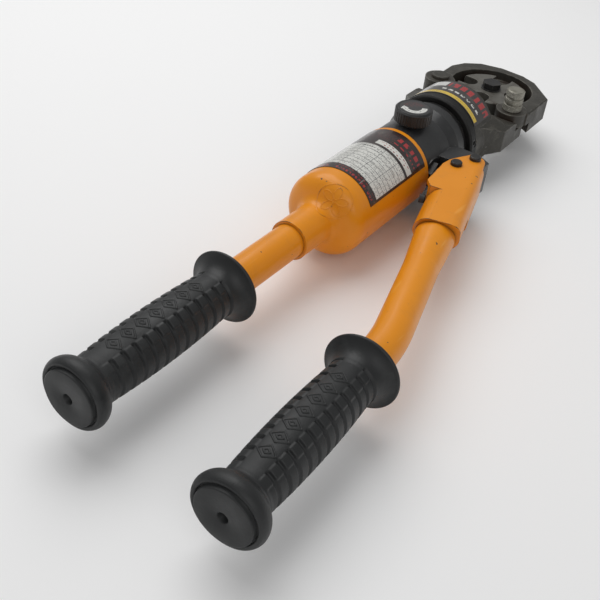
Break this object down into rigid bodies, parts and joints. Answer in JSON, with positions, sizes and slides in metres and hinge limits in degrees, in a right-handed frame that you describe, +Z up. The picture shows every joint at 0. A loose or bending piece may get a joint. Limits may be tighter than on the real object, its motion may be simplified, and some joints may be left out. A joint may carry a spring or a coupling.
{
  "type": "hand-pumped hydraulic crimping tool",
  "caption": "Two-handled hydraulic crimping tool with bottle-shaped oil reservoir, swinging latched yoke, turning nest die and bracketed pump handle.",
  "frame": {"origin": "centre of the rear grip's end face, on the vent hole's axis", "axes": "+Y along the main axis from the rear grip to the head, +X towards the pump handle, +Z up out of the release knob"},
  "size_m": [0.1663, 0.5168, 0.0719],
  "materials": {
    "orange_paint": "glossy stoving enamel with small chips and scuffs",
    "black_rubber": "moulded ribbed grip rubber",
    "charcoal_paint": "semi-gloss black on cast pump body",
    "head_steel": "dark phosphated forged steel, worn",
    "die_steel": "hardened die steel, oiled and stained",
    "latch_metal": "turned and knurled zinc-plated steel",
    "black_oxide": "black oxide fasteners",
    "bright_steel": "ground and hard-chromed",
    "seal_rubber": "nitrile seal",
    "label_film": null,
    "knob_plastic": "ribbed moulded plastic",
    "spring_steel": "drawn spring wire"
  },
  "bodies": {
    "tool_body": {"rear_grip": "black_rubber", "rear_handle_tube": "orange_paint", "reservoir_housing": "orange_paint", "oil_bladder": "seal_rubber", "bladder_clamp_ring": "bright_steel", "reservoir_label": "label_film", "pump_body": "charcoal_paint", "filler_plug": "black_oxide", "relief_valve_plug": "black_oxide", "relief_ball": "bright_steel", "lock_ring": "black_oxide", "head_base": "head_steel", "head_set_screw": "black_oxide", "rod_wiper": "seal_rubber", "head_label": "label_film", "return_spring": "spring_steel", "plunger_gland": "black_oxide"},
    "ram_body": {"ram": "bright_steel", "indenter": "die_steel", "piston_seal": "seal_rubber"},
    "yoke_body": {"yoke": "head_steel", "hinge_pin": "head_steel", "hinge_clip": "black_oxide"},
    "latch_body": {"latch_pin": "bright_steel", "latch_knob": "latch_metal"},
    "die_body": {"nest_die": "die_steel", "die_washer": "black_oxide", "die_bolt": "black_oxide"},
    "pump_handle": {"handle_bracket": "orange_paint", "pivot_pin": "black_oxide", "pivot_pin_clip": "black_oxide", "plunger_pin": "black_oxide", "plunger_pin_clip": "black_oxide", "bracket_bumper": "seal_rubber", "pump_handle_tube": "orange_paint", "pump_grip": "black_rubber"},
    "plunger_body": {"pump_plunger": "bright_steel"},
    "release_valve": {"release_knob": "knob_plastic", "release_spindle": "bright_steel", "knob_dial": "label_film"}
  },
  "joints": [
    {"name": "ram_stroke", "type": "slide", "parent": "tool_body", "child": "ram_body", "axis": [0, 1, 0], "range_m": [0, 0.018], "deforming": ["return_spring"]},
    {"name": "yoke_swing", "type": "hinge", "parent": "tool_body", "child": "yoke_body", "pos_m": [-0.033, 0.4375, 0], "axis": [0, 0, 1], "range_deg": [0, 90]},
    {"name": "latch_pin_lift", "type": "slide", "parent": "yoke_body", "child": "latch_body", "axis": [0, 0, 1], "range_m": [0, 0.011]},
    {"name": "nest_die_turn", "type": "hinge", "parent": "yoke_body", "child": "die_body", "pos_m": [0, 0.4655, 0], "axis": [0, 0, 1], "continuous": true},
    {"name": "pump_handle_swing", "type": "hinge", "parent": "tool_body", "child": "pump_handle", "pos_m": [0.0485, 0.3355, 0], "axis": [0, 0, 1], "range_deg": [0, 45]},
    {"name": "plunger_stroke", "type": "slide", "parent": "tool_body", "child": "plunger_body", "axis": [1, 0, 0], "range_m": [0, 0.01257]},
    {"name": "release_knob_turn", "type": "hinge", "parent": "tool_body", "child": "release_valve", "pos_m": [0, 0.3277, 0], "axis": [0, 0, 1], "range_deg": [0, 90]}
  ],
  "couplings": [
    {"joint": "plunger_stroke", "follows": "pump_handle_swing", "m_per_rad": 0.016}
  ]
}
